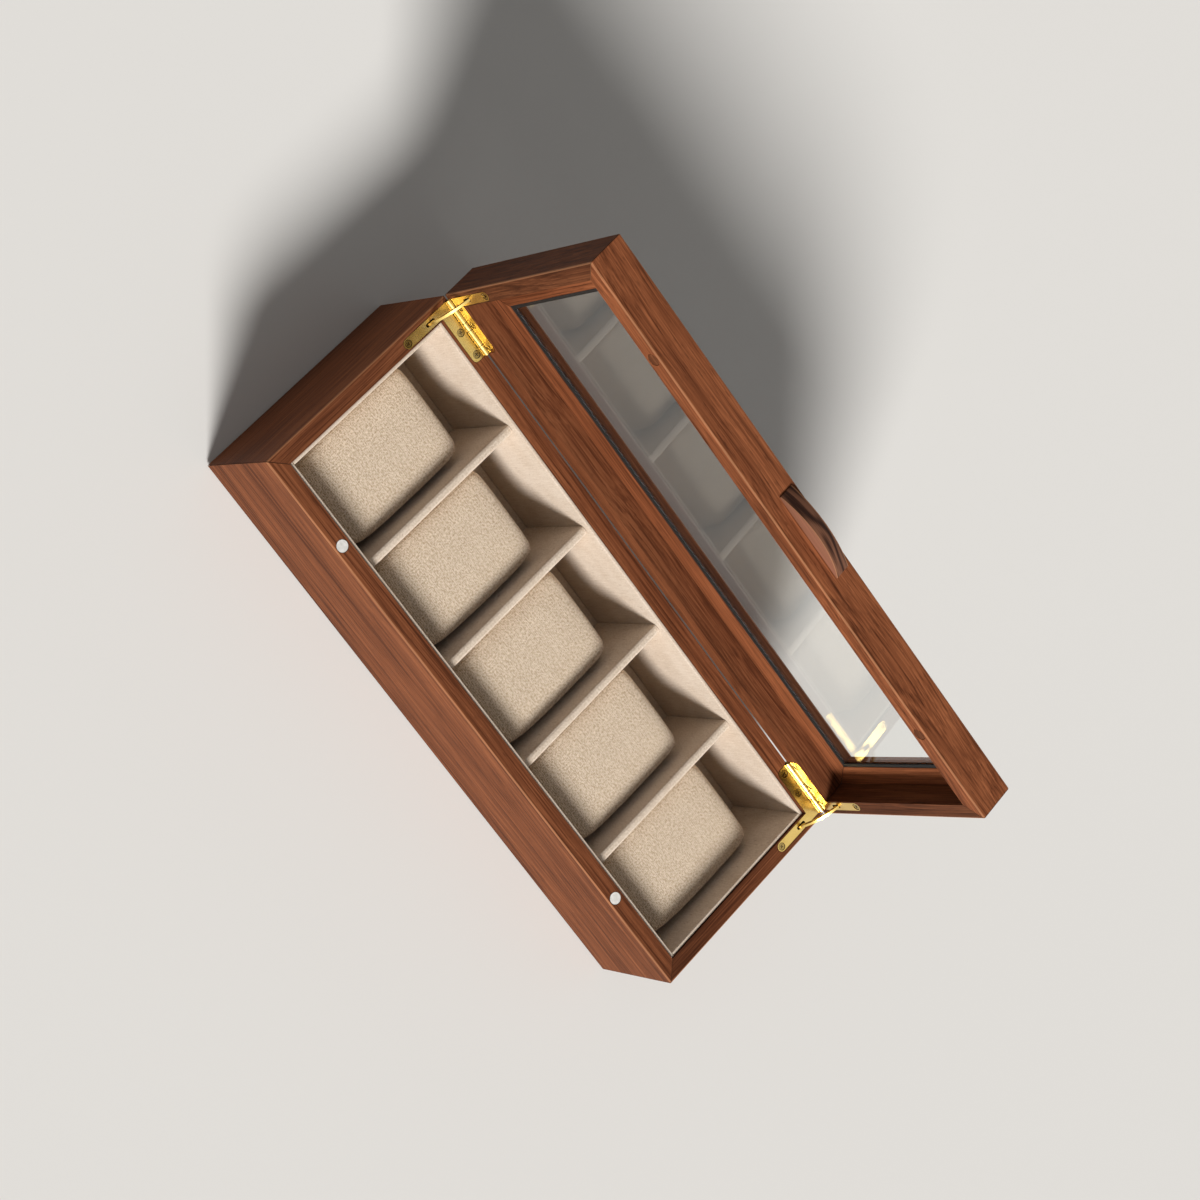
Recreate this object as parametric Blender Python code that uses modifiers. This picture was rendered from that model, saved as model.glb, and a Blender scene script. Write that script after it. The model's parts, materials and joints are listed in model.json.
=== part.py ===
"""Watch display box: a mitred walnut case with five cushioned compartments
and a glazed lid that opens on two side-rail hinges with stays.

X runs along the box, -Y is its front, +Z is up. The origin is the middle of
the underside. The lid's pieces are placed as they lie when it is shut, and
their pivot turns them open.
"""
from math import asin, atan2, cos, pi, radians, sin, sqrt

import bmesh
import bpy
from mathutils import Matrix, Vector

mm = 0.001

# Case: outside sizes and the walnut boards
case_length = 330 * mm
case_depth = 120 * mm
base_height = 65 * mm
wall = 8.5 * mm
eased_edge = 0.7 * mm
back_edge = 0.25 * mm
mitre_stop = 0.15 * mm
glue_line = 0.2 * mm
overrun = 2 * mm

# Underside
felt_thickness = 0.8 * mm
felt_inset = 1.5 * mm
panel_thickness = 4 * mm
panel_rebate = 4 * mm
panel_gap = 0.3 * mm

# Cloth-covered lining, floor pad and dividers
lining_thickness = 1.8 * mm
lining_drop = 1 * mm
floor_pad_thickness = 1.5 * mm
divider_thickness = 4.6 * mm
divider_drop = 4.5 * mm
cloth_gap = 0.3 * mm
cloth_edge = 0.5 * mm
divider_edge = 1.4 * mm
compartment_count = 5

# Cushions
cushion_side_gap = 1.4 * mm
cushion_front_gap = 1.3 * mm
cushion_back_gap = 19.2 * mm
cushion_height = 44 * mm
cushion_crown = 2 * mm
cushion_bulge = 0.8 * mm
cushion_front_taper = 2.6 * mm
cushion_front_round = 14 * mm
cushion_back_round = 8 * mm
cushion_top_round = 10 * mm
cushion_side_round = 6.5 * mm
cushion_foot_round = 7 * mm

# Magnets in the two front rails
magnet_diameter = 6 * mm
magnet_thickness = 3 * mm
magnet_drop = 0.1 * mm
magnet_gap = 0.25 * mm
magnet_from_end = 53.5 * mm
cap_thickness = 1 * mm

# Lid: rails, inner frame, glass and its seal
lid_height = 21 * mm
lid_seat_gap = 0.3 * mm
lid_open_degrees = 94
frame_width = 13.3 * mm
frame_thickness = 8 * mm
frame_chamfer = 1.4 * mm
glass_thickness = 2 * mm
glass_edge_gap = 0.4 * mm
rebate_width = 2.2 * mm
seal_thickness = 0.7 * mm
seal_width = 1.7 * mm

# Handle on the lid's front
handle_length = 48 * mm
handle_projection = 7.2 * mm
handle_height = 8.8 * mm
handle_top_margin = 2.6 * mm
handle_end = 0.6 * mm
handle_top_share = 0.75
handle_edge = 0.5 * mm
tenon_length = 30 * mm
tenon_height = 4 * mm
tenon_depth = 4.5 * mm

# Hinges: leaves, barrels and pins
leaf_thickness = 1.5 * mm
leaf_gap = 0.2 * mm
arm_width = 5 * mm
arm_outer_margin = 2.8 * mm
arm_reach = 31.8 * mm
wing_margin = 0.8 * mm
wing_reach = 34.7 * mm
wing_corner = 2.4 * mm
axis_overhang = 0.2 * mm
knuckle_radius = 2 * mm
knuckle_gap = 0.3 * mm
knuckle_shares = (0.166, 0.275, 0.14, 0.25, 0.169)
pin_radius = 0.85 * mm
pin_gap = 0.2 * mm
barrel_inset = 2.8 * mm

# Stays: a curved bar in each hinge with a stop pin at each end, by its distance from the axis
stay_end_radius = 16 * mm
stay_middle_radius = 12.4 * mm
stay_width = 1.8 * mm
stay_thickness = 1.2 * mm
stop_radius = 0.9 * mm
stop_length = 3 * mm
stop_gap = 0.3 * mm
slot_length = 5.8 * mm
slot_gap = 0.4 * mm
pocket_gap = 0.4 * mm

# Hinge screws
screw_head_radius = 1.75 * mm
screw_head_rim = 0.15 * mm
screw_shank_radius = 1 * mm
screw_length = 9 * mm
screw_tip = 1.5 * mm
screw_gap = 0.3 * mm
screw_drop = 0.3 * mm
screw_row_from_axis = 4.5 * mm
recess_length = 2.1 * mm
recess_width = 0.45 * mm
recess_depth = 0.5 * mm
base_screw_shares = (0.54, 0.91)
lid_screw_shares = (0.24, 0.54, 0.91)
screw_turn = radians(35)

# How finely round shapes are divided
screw_sides = 12
round_sides = 24
knuckle_sides = 20
arc_steps = 12
merge_distance = 0.001 * mm

# Places that several pieces share
rim = base_height
lid_rim = base_height + lid_seat_gap
lid_top = lid_rim + lid_height
panel_top = felt_thickness + glue_line + panel_thickness
floor_top = panel_top + glue_line + floor_pad_thickness
inner_length = case_length - 2 * wall
inner_depth = case_depth - 2 * wall
lined_length = inner_length - 2 * (lining_thickness + glue_line)
lined_depth = inner_depth - 2 * (lining_thickness + glue_line)
cushion_length = lined_depth - cushion_front_gap - cushion_back_gap
compartment_width = (lined_length - (compartment_count - 1) * divider_thickness) / compartment_count
axis_y = case_depth / 2 + axis_overhang
axis_z = base_height + lid_seat_gap / 2
arm_x = case_length / 2 - arm_outer_margin - arm_width / 2
wing_front = case_depth / 2 - wall + wing_margin
screw_head_depth = screw_head_rim + screw_head_radius - screw_shank_radius
barrel_outer = case_length / 2 - barrel_inset
barrel_inner = case_length / 2 - wing_reach


def clear_scene():
    for thing in list(bpy.data.objects):
        bpy.data.objects.remove(thing, do_unlink=True)


def new_collection(name):
    collection = bpy.data.collections.new(name)
    bpy.context.scene.collection.children.link(collection)
    return collection


def new_material(name, colour, roughness, metallic=0.0, alpha=1.0):
    material = bpy.data.materials.new(name)
    material.use_nodes = True
    shader = material.node_tree.nodes["Principled BSDF"]
    shader.inputs["Base Color"].default_value = (*colour, 1.0)
    shader.inputs["Roughness"].default_value = roughness
    shader.inputs["Metallic"].default_value = metallic
    shader.inputs["Alpha"].default_value = alpha
    material.diffuse_color = (*colour, alpha)
    return material


clear_scene()
parts = new_collection("watch_display_box")
cutters = new_collection("cutters")
walnut = new_material("walnut", (0.17, 0.065, 0.035), 0.42)
dark_walnut = new_material("dark_walnut", (0.10, 0.045, 0.028), 0.45)
birch_panel = new_material("birch_panel", (0.52, 0.38, 0.24), 0.6)
black_felt = new_material("black_felt", (0.02, 0.02, 0.02), 0.95)
lining_cloth = new_material("lining_cloth", (0.62, 0.52, 0.42), 0.9)
cushion_linen = new_material("cushion_linen", (0.55, 0.44, 0.29), 0.92)
brass = new_material("brass", (0.83, 0.55, 0.16), 0.22, 1.0)
magnet_nickel = new_material("magnet_nickel", (0.75, 0.72, 0.68), 0.3, 1.0)
black_seal = new_material("black_seal", (0.015, 0.014, 0.014), 0.6)
clear_glass = new_material("clear_glass", (0.95, 0.97, 0.96), 0.03, 0.0, 0.25)


def put(thing, location, material=None, parent=None, turn=0.0, hidden=False):
    """Place an object: its location is in the shut box's frame, also under a pivot."""
    collection = cutters if hidden else parts
    collection.objects.link(thing)
    thing.location = Vector(location)
    thing.rotation_euler.z = turn
    if parent is not None:
        thing.parent = parent
        thing.location -= parent.location
    if material is not None:
        thing.data.materials.clear()
        thing.data.materials.append(material)
    if hidden:
        thing.hide_render = True
        thing.display_type = "WIRE"
    return thing


def pivot(name, location, opened=0.0):
    """An empty on a joint's axis, which carries what the joint moves."""
    empty = bpy.data.objects.new(name, None)
    parts.objects.link(empty)
    empty.location = location
    empty.rotation_euler.x = -opened
    return empty


def finish_mesh(name, shape):
    bmesh.ops.recalc_face_normals(shape, faces=shape.faces)
    mesh = bpy.data.meshes.new(name)
    shape.to_mesh(mesh)
    shape.free()
    return bpy.data.objects.new(name, mesh)


def modify(thing, kind, other):
    step = thing.modifiers.new(kind.lower(), "BOOLEAN")
    step.operation = kind
    step.solver = "EXACT"
    step.object = other


def cut(thing, *tools):
    for tool in tools:
        modify(thing, "DIFFERENCE", tool)


def join(thing, *others):
    for other in others:
        modify(thing, "UNION", other)


def runs_along(edge, axis):
    step = edge.verts[1].co - edge.verts[0].co
    return abs(step[axis]) > 0.9 * step.length


def ease(shape, edges, offset, steps=2):
    bmesh.ops.bevel(shape, geom=edges, offset=offset, segments=steps, profile=0.5, affect="EDGES")


def block(name, size):
    """A box that stands on its origin."""
    shape = bmesh.new()
    bmesh.ops.create_cube(shape, size=1)
    bmesh.ops.translate(shape, verts=shape.verts, vec=(0, 0, 0.5))
    bmesh.ops.scale(shape, verts=shape.verts, vec=size)
    return finish_mesh(name, shape)


def board(name, size, edge):
    """A cloth-covered board that stands on its origin, with its long top edges rounded."""
    shape = bmesh.new()
    bmesh.ops.create_cube(shape, size=1)
    bmesh.ops.translate(shape, verts=shape.verts, vec=(0, 0, 0.5))
    bmesh.ops.scale(shape, verts=shape.verts, vec=size)
    along = 0 if size[0] > size[1] else 1
    top = [e for e in shape.edges if runs_along(e, along) and e.verts[0].co.z > size[2] / 2]
    ease(shape, top, edge)
    return finish_mesh(name, shape)


def mitred_rail(name, run, thickness, height, edge=0.0, chamfer=0.0):
    """A bar along X with mitred ends: its outer face lies on y = 0 and it stands on z = 0."""
    shape = bmesh.new()
    bmesh.ops.create_cube(shape, size=1)
    for vert in shape.verts:
        inner = vert.co.y > 0
        reach = run / 2 - mitre_stop - (thickness if inner else 0)
        vert.co.x = reach if vert.co.x > 0 else -reach
        vert.co.y = thickness if inner else 0
        vert.co.z = height if vert.co.z > 0 else 0
    if edge:
        outer = [e for e in shape.edges if runs_along(e, 0) and e.verts[0].co.y < thickness / 2]
        ease(shape, outer, edge)
    if chamfer:
        inner = [e for e in shape.edges if runs_along(e, 0) and e.verts[0].co.y > thickness / 2]
        upper = [e for e in inner if e.verts[0].co.z > height / 2]
        ease(shape, upper, chamfer, 1)
    return finish_mesh(name, shape)


def mitred_frame(stem, length, depth, low, thickness, height, material, parent=None, edge=0.0, chamfer=0.0):
    """Four mitred bars round a rectangle of the given outside size."""
    sides = (("front", length, (0, -depth / 2), 0), ("right", depth, (length / 2, 0), 1),
             ("back", length, (0, depth / 2), 2), ("left", depth, (-length / 2, 0), 3))
    made = {}
    for side, run, middle, quarter in sides:
        eased = min(edge, back_edge) if side == "back" else edge
        rail = mitred_rail(stem.format(side), run, thickness, height, eased, chamfer)
        made[side] = put(rail, (*middle, low), material, parent, quarter * pi / 2)
    return made


def cylinder(name, radius, length, sides=round_sides, axis="Z"):
    """A cylinder centred on its origin along the named axis."""
    shape = bmesh.new()
    bmesh.ops.create_cone(shape, cap_ends=True, segments=sides, radius1=radius, radius2=radius, depth=length)
    if axis == "X":
        bmesh.ops.rotate(shape, verts=shape.verts, matrix=Matrix.Rotation(pi / 2, 3, "Y"))
    if axis == "Y":
        bmesh.ops.rotate(shape, verts=shape.verts, matrix=Matrix.Rotation(pi / 2, 3, "X"))
    return finish_mesh(name, shape)


def plate(name, outline, thickness, upright=False, opening=None):
    """A flat plate from its outline, centred on z = 0; an upright one has its outline in Y and Z."""
    curve = bpy.data.curves.new(name, "CURVE")
    curve.dimensions = "2D"
    curve.fill_mode = "BOTH"
    curve.extrude = thickness / 2
    for corners in (outline, opening or []):
        if corners:
            line = curve.splines.new("POLY")
            line.points.add(len(corners) - 1)
            for point, (x, y) in zip(line.points, corners):
                point.co = (x, y, 0, 1)
            line.use_cyclic_u = True
    guide = bpy.data.objects.new(name, curve)
    cutters.objects.link(guide)
    seen = guide.evaluated_get(bpy.context.evaluated_depsgraph_get())
    mesh = bpy.data.meshes.new_from_object(seen)
    bpy.data.objects.remove(guide, do_unlink=True)
    bpy.data.curves.remove(curve)
    shape = bmesh.new()
    shape.from_mesh(mesh)
    bpy.data.meshes.remove(mesh)
    bmesh.ops.remove_doubles(shape, verts=shape.verts, dist=merge_distance)
    if upright:
        for vert in shape.verts:
            vert.co = (vert.co.z, vert.co.x, vert.co.y)
    return finish_mesh(name, shape)


def rectangle(length, depth):
    x = length / 2
    y = depth / 2
    return [(-x, -y), (x, -y), (x, y), (-x, y)]


def arc(centre, radius, start, end, steps=arc_steps):
    turn = (end - start) / steps
    return [(centre[0] + radius * cos(start + i * turn), centre[1] + radius * sin(start + i * turn))
            for i in range(steps + 1)]


def turned(name, profile, sides):
    """A turned solid from a profile that runs down its outer side."""
    mesh = bpy.data.meshes.new(name)
    count = len(profile)
    mesh.from_pydata([(r, 0, z) for r, z in profile], [(i, i + 1) for i in range(count - 1)], [])
    thing = bpy.data.objects.new(name, mesh)
    spin = thing.modifiers.new("turn", "SCREW")
    spin.steps = sides
    spin.render_steps = sides
    spin.use_merge_vertices = True
    spin.merge_threshold = merge_distance
    spin.use_smooth_shade = False
    return thing


def settled_mesh(thing):
    """The mesh that an object's modifiers give."""
    seen = thing.evaluated_get(bpy.context.evaluated_depsgraph_get())
    return bpy.data.meshes.new_from_object(seen)


def repeated(name, mesh, places, flip=False):
    """One object with a separate copy of a mesh at each place."""
    shape = bmesh.new()
    for place in places:
        shape.from_mesh(mesh)
        fresh = shape.verts[len(shape.verts) - len(mesh.vertices):]
        if flip:
            bmesh.ops.rotate(shape, verts=fresh, matrix=Matrix.Rotation(pi, 3, "X"))
        bmesh.ops.translate(shape, verts=fresh, vec=place)
        shape.verts.ensure_lookup_table()
    return finish_mesh(name, shape)


def smooth(thing):
    thing.data.shade_smooth()
    thing.data.set_sharp_from_angle(angle=radians(35))


def make_base():
    """Four mitred walls, rebated underneath for the bottom panel, and the felt."""
    low = felt_thickness + glue_line
    rails = mitred_frame("base_{}_rail", case_length, case_depth, low, wall, base_height - low,
                         walnut, edge=eased_edge)
    length = inner_length + 2 * panel_rebate
    depth = inner_depth + 2 * panel_rebate
    rebate = put(block("panel_rebate", (length, depth, panel_thickness + glue_line + overrun)),
                 (0, 0, low - overrun), hidden=True)
    for rail in rails.values():
        cut(rail, rebate)
    put(block("bottom_panel", (length - 2 * panel_gap, depth - 2 * panel_gap, panel_thickness)),
        (0, 0, low), birch_panel)
    put(block("bottom_felt", (case_length - 2 * felt_inset, case_depth - 2 * felt_inset, felt_thickness)),
        (0, 0, 0), black_felt)
    return rails


def make_lining():
    """Covered boards on the four walls and the floor: the long ones run the full inside length."""
    height = rim - lining_drop - panel_top - glue_line
    low = panel_top + glue_line
    long_size = (inner_length - 2 * glue_line, lining_thickness, height)
    short_size = (lining_thickness, lined_depth - 2 * glue_line, height)
    off_y = (inner_depth - lining_thickness) / 2 - glue_line
    off_x = (inner_length - lining_thickness) / 2 - glue_line
    put(board("lining_front", long_size, cloth_edge), (0, -off_y, low), lining_cloth)
    put(board("lining_back", long_size, cloth_edge), (0, off_y, low), lining_cloth)
    put(board("lining_left", short_size, cloth_edge), (-off_x, 0, low), lining_cloth)
    put(board("lining_right", short_size, cloth_edge), (off_x, 0, low), lining_cloth)
    pad = (lined_length - 2 * cloth_gap, lined_depth - 2 * cloth_gap, floor_pad_thickness)
    put(block("floor_pad", pad), (0, 0, low), lining_cloth)


def make_dividers():
    """Boards across the box, lower than the lining, that part the compartments evenly."""
    low = floor_top + glue_line
    size = (divider_thickness, lined_depth - 2 * cloth_gap, rim - divider_drop - low)
    pitch = compartment_width + divider_thickness
    for i in range(1, compartment_count):
        x = -lined_length / 2 + i * pitch - divider_thickness / 2
        put(board(f"divider_{i}", size, divider_edge), (x, 0, low), lining_cloth)


def cushion_cage():
    """A coarse cage with a crowned top, rounded ends and sides that swell at the middle."""
    half_width = compartment_width / 2 - cushion_side_gap
    half_length = cushion_length / 2
    xs = (-half_width, cushion_side_round - half_width, half_width - cushion_side_round, half_width)
    ys = (-half_length, cushion_front_round - half_length, half_length - cushion_back_round, half_length)
    zs = (0, cushion_foot_round, cushion_height - cushion_top_round, cushion_height)
    cells = len(xs) - 1
    shape = bmesh.new()
    bmesh.ops.create_cube(shape, size=cells)
    bmesh.ops.subdivide_edges(shape, edges=shape.edges, cuts=cells - 1, use_grid_fill=True)
    for vert in shape.verts:
        i, j, k = (round(value + cells / 2) for value in vert.co)
        x, y, z = xs[i], ys[j], zs[k]
        x_edge, y_edge = i in (0, cells), j in (0, cells)
        if x_edge and y_edge:
            pull = cushion_bulge + (cushion_front_taper if y < 0 else 0)
            x -= pull if x > 0 else -pull
            y -= cushion_bulge if y > 0 else -cushion_bulge
        if k == cells and (x_edge or y_edge):
            z -= cushion_crown
        if k == 0 and (x_edge or y_edge):
            x *= (half_width - cushion_bulge) / half_width
            y *= (half_length - cushion_bulge) / half_length
        vert.co = (x, y, z)
    return finish_mesh("cushion", shape).data


def make_cushions():
    """Each cushion stands on the floor pad near its compartment's front, and lifts out."""
    cage = cushion_cage()
    cage.materials.append(cushion_linen)
    y = cushion_front_gap + (cushion_length - lined_depth) / 2
    pitch = compartment_width + divider_thickness
    for i in range(compartment_count):
        x = -lined_length / 2 + compartment_width / 2 + i * pitch
        cushion = put(bpy.data.objects.new(f"cushion_{i + 1}", cage), (x, y, floor_top + cloth_gap))
        soft = cushion.modifiers.new("soft", "SUBSURF")
        soft.levels = 2
        soft.render_levels = 2
    cage.shade_smooth()


def make_magnets(rail, stem, level, faces_up, cap=0.0, parent=None):
    """Two disc magnets let into a front rail: bare ones just below its edge, or under wooden caps."""
    way = 1 if faces_up else -1
    y = -case_depth / 2 + wall / 2
    drop = magnet_drop + (cap + glue_line if cap else 0)
    middle = level - way * (drop + magnet_thickness / 2)
    for side, sign in (("left", -1), ("right", 1)):
        place = (sign * (case_length / 2 - magnet_from_end), y, middle)
        magnet = cylinder(f"{stem}_magnet_{side}", magnet_diameter / 2, magnet_thickness)
        put(magnet, place, magnet_nickel, parent)
        if cap:
            disc = cylinder(f"magnet_cap_{side}", magnet_diameter / 2, cap)
            put(disc, (place[0], y, level - way * (magnet_drop + cap / 2)), dark_walnut, parent)
        depth = magnet_thickness + drop + magnet_gap
        tool = cylinder(f"{stem}_magnet_hole_{side}", magnet_diameter / 2 + magnet_gap, depth + overrun)
        put(tool, (place[0], y, level - way * (depth - overrun) / 2), parent=parent, hidden=True)
        cut(rail, tool)


def make_lid(lid):
    """Four mitred rails, the frame inside their top, the glass and the seal under its edge."""
    rails = mitred_frame("lid_{}_rail", case_length, case_depth, lid_rim, wall, lid_height, walnut,
                         lid, eased_edge)
    low = lid_top - frame_thickness
    members = mitred_frame("window_frame_{}", inner_length - 2 * glue_line, inner_depth - 2 * glue_line,
                           low, frame_width, frame_thickness, walnut, lid, chamfer=frame_chamfer)
    window_length = inner_length - 2 * (glue_line + frame_width)
    window_depth = inner_depth - 2 * (glue_line + frame_width)
    rebate_length = window_length + 2 * rebate_width
    rebate_depth = window_depth + 2 * rebate_width
    stack = seal_thickness + glass_thickness + 3 * glue_line
    rebate = put(block("glass_rebate", (rebate_length, rebate_depth, stack + overrun)),
                 (0, 0, low - overrun), parent=lid, hidden=True)
    for member in members.values():
        cut(member, rebate)
    pane = (rebate_length - 2 * glass_edge_gap, rebate_depth - 2 * glass_edge_gap, glass_thickness)
    put(block("glass_pane", pane), (0, 0, low + stack - glue_line - glass_thickness), clear_glass, lid)
    outer = rectangle(rebate_length - 2 * glue_line, rebate_depth - 2 * glue_line)
    inner = rectangle(rebate_length - 2 * (glue_line + seal_width), rebate_depth - 2 * (glue_line + seal_width))
    seal = plate("glazing_seal", outer, seal_thickness, opening=inner)
    put(seal, (0, 0, low + glue_line + seal_thickness / 2), black_seal, lid)
    return rails


def make_handle(front_rail, lid):
    """A half-moon block on the lid's front that slopes back to its top, on a tenon glued into the rail."""
    half = handle_length / 2
    rise = handle_projection - handle_end
    radius = (half * half + rise * rise) / (2 * rise)
    spread = atan2(half, radius - rise)
    centre = (0, radius - handle_projection)
    outline = [(-half, 0)] + arc(centre, radius, -pi / 2 - spread, -pi / 2 + spread, 2 * arc_steps)
    outline += [(half, 0)]
    face = -case_depth / 2
    middle = lid_top - handle_top_margin - handle_height / 2
    handle = plate("handle", outline, handle_height)
    for vert in handle.data.vertices:
        if vert.co.z > 0:
            vert.co.y *= handle_top_share
    put(handle, (0, face - glue_line, middle), dark_walnut, lid)
    soften = handle.modifiers.new("edges", "BEVEL")
    soften.width = handle_edge
    soften.segments = 2
    soften.limit_method = "ANGLE"
    soften.angle_limit = radians(40)
    tenon = block("handle_tenon", (tenon_length, tenon_depth + overrun, tenon_height))
    root = (0, face + (tenon_depth - overrun) / 2, middle - tenon_height / 2)
    join(handle, put(tenon, root, parent=lid, hidden=True))
    mortise = block("handle_mortise", (tenon_length + 2 * glue_line, tenon_depth + overrun + 2 * glue_line,
                                       tenon_height + 2 * glue_line))
    mouth = (0, root[1], root[2] - glue_line)
    cut(front_rail, put(mortise, mouth, parent=lid, hidden=True))


def leaf_outline(side, grow=0.0, back=None):
    """An L: a round-ended arm along the side wall and a wing along the back wall."""
    tip = axis_y - arm_reach
    half = arm_width / 2 + grow
    rear = axis_y - knuckle_radius / 2 if back is None else back
    end = barrel_inner - grow
    front = wing_front - grow
    corner = wing_corner + grow
    points = arc((arm_x, tip + arm_width / 2), half, -pi, 0)
    points += [(arm_x + half, rear), (end, rear)]
    points += arc((end + corner, front + corner), corner, pi, 3 * pi / 2, arc_steps // 2)
    points += [(arm_x - half, front)]
    return [(side * x, y) for x, y in points]


def knuckle_spans(owner):
    """The stretches of the barrel that belong to the lower (0) or the upper (1) leaf."""
    length = barrel_outer - barrel_inner
    spans = []
    start = barrel_inner
    for i, share in enumerate(knuckle_shares):
        end = start + share * length
        if i % 2 == owner:
            spans.append((start, end))
        start = end
    return spans


def barrel_rods(name, spans, radius, side, parent, trim):
    """Cylinders on the hinge axis along the given stretches, each shortened by trim at both ends."""
    shape = bmesh.new()
    for start, end in spans:
        before = len(shape.verts)
        bmesh.ops.create_cone(shape, cap_ends=True, segments=knuckle_sides, radius1=radius, radius2=radius,
                              depth=end - start - 2 * trim)
        shape.verts.ensure_lookup_table()
        fresh = shape.verts[before:]
        bmesh.ops.rotate(shape, verts=fresh, matrix=Matrix.Rotation(pi / 2, 3, "Y"))
        bmesh.ops.translate(shape, verts=fresh, vec=(side * (start + end) / 2, 0, 0))
        shape.verts.ensure_lookup_table()
    rods = finish_mesh(name, shape)
    return put(rods, (0, axis_y, axis_z), parent=parent, hidden=True)


def screw_places(side, shares, level):
    """The hinge screws: one at the arm's round end and one for each share along the wing."""
    places = [(side * arm_x, axis_y - arm_reach + arm_width / 2, level)]
    for share in shares:
        places.append((side * (case_length / 2 - share * wing_reach), axis_y - screw_row_from_axis, level))
    return places


def screw_mesh():
    """A countersunk screw with a crossed recess, its head's top on z = 0."""
    profile = [(0, 0), (screw_head_radius, 0), (screw_head_radius, -screw_head_rim),
               (screw_shank_radius, -screw_head_depth), (screw_shank_radius, screw_tip - screw_length),
               (0, -screw_length)]
    screw = put(turned("screw_master", profile, screw_sides), (0, 0, 0), hidden=True)
    for turn in (0, pi / 2):
        arm = block("recess", (recess_length, recess_width, recess_depth + overrun))
        cut(screw, put(arm, (0, 0, -recess_depth), turn=turn, hidden=True))
    mesh = settled_mesh(screw)
    return mesh


def screw_hole_mesh():
    """What a screw needs free of metal and wood round it."""
    profile = [(0, overrun), (screw_head_radius + screw_gap, overrun),
               (screw_head_radius + screw_gap, -screw_head_rim - screw_drop),
               (screw_shank_radius + screw_gap, -screw_head_depth - screw_drop),
               (screw_shank_radius + screw_gap, -screw_length - screw_gap), (0, -screw_length - screw_gap)]
    hole = put(turned("screw_hole_master", profile, screw_sides), (0, 0, 0), hidden=True)
    return settled_mesh(hole)


def slot_outline(side):
    """The stay's slot in a leaf's arm: the bar slides back along it as the lid shuts."""
    half = stay_thickness / 2 + slot_gap
    back = axis_y - stay_middle_radius + stay_width / 2 + slot_gap
    x = side * arm_x
    low = arc((x, back - slot_length + half), half, pi, 2 * pi, arc_steps // 2)
    high = arc((x, back - half), half, 0, pi, arc_steps // 2)
    return low + high


def make_leaf(name, side, upper, parent, hole):
    """One hinge leaf with its knuckles, and the cutters that its seat in the wood needs."""
    way = -1 if upper else 1
    level = lid_rim if upper else rim
    middle = level - way * leaf_thickness / 2
    leaf = put(plate(name, leaf_outline(side), leaf_thickness), (0, 0, middle), brass, parent)
    own = 1 if upper else 0
    join(leaf, barrel_rods(f"{name}_knuckles", knuckle_spans(own), knuckle_radius, side, parent, 0))
    cut(leaf, barrel_rods(f"{name}_relief", knuckle_spans(1 - own), knuckle_radius + knuckle_gap, side,
                          parent, -knuckle_gap / 2))
    cut(leaf, barrel_rods(f"{name}_bore", [(barrel_inner, barrel_outer)], pin_radius + pin_gap, side,
                          parent, -overrun))
    shares = lid_screw_shares if upper else base_screw_shares
    holes = repeated(f"{name}_screw_holes", hole, screw_places(side, shares, level), upper)
    holes = put(holes, (0, 0, 0), parent=parent, hidden=True)
    slot = plate(f"{name}_slot", slot_outline(side), leaf_thickness + 2 * overrun)
    cut(leaf, holes, put(slot, (0, 0, middle), parent=parent, hidden=True))
    seat = plate(f"{name}_seat", leaf_outline(side, leaf_gap, case_depth / 2 + overrun),
                 leaf_thickness + glue_line + overrun)
    seat = put(seat, (0, 0, middle + way * (overrun - glue_line) / 2), parent=parent, hidden=True)
    groove = barrel_rods(f"{name}_groove", [(barrel_inner, barrel_outer)], knuckle_radius + knuckle_gap,
                         side, parent, -knuckle_gap)
    return [seat, groove, holes]


def stay_sweep():
    """How far below the rim's plane a stop pin sits at rest, as an angle about the hinge axis."""
    depth = lid_seat_gap / 2 + leaf_thickness + stop_gap + stop_radius
    return asin(depth / stay_end_radius)


def make_stay(name, side, carrier):
    """A gently curved bar that slides through both leaves' slots, with its two stop pins."""
    half_angle = radians(lid_open_degrees) / 2 + stay_sweep()
    bisector = pi - radians(lid_open_degrees) / 2
    near = stay_end_radius * cos(half_angle)
    reach = stay_end_radius * sin(half_angle)
    offset = (stay_end_radius ** 2 - stay_middle_radius ** 2) / (2 * (stay_middle_radius - near))
    bend = stay_middle_radius + offset
    spread = asin(reach / bend)
    centre = (-offset * cos(bisector), -offset * sin(bisector))
    start = bisector - spread
    end = bisector + spread
    outer = arc(centre, bend + stay_width / 2, start, end, 2 * arc_steps)
    inner = arc(centre, bend - stay_width / 2, end, start, 2 * arc_steps)
    stay = put(plate(name, outer + inner, stay_thickness, upright=True), (side * arm_x, axis_y, axis_z),
               brass, carrier)
    for label, angle in (("low", start), ("high", end)):
        pin = cylinder(f"{name}_{label}_stop", stop_radius, stop_length, screw_sides, "X")
        place = (side * arm_x, axis_y + centre[0] + bend * cos(angle), axis_z + centre[1] + bend * sin(angle))
        join(stay, put(pin, place, parent=carrier, hidden=True))
    return stay


def stay_pocket(name, side, upper, parent):
    """The mortise that takes the stay's end as the lid shuts."""
    level = lid_rim if upper else rim
    turned_in = radians(lid_open_degrees) / 2 + stay_sweep()
    depth = stay_end_radius * sin(turned_in) + stop_radius + pocket_gap
    front = axis_y - stay_end_radius - stop_radius - pocket_gap
    back = axis_y - stay_end_radius * cos(turned_in) + stop_radius + pocket_gap
    size = (stop_length + 2 * pocket_gap, back - front, depth)
    low = level if upper else level - depth
    return put(block(name, size), (side * arm_x, (front + back) / 2, low), parent=parent, hidden=True)


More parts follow.
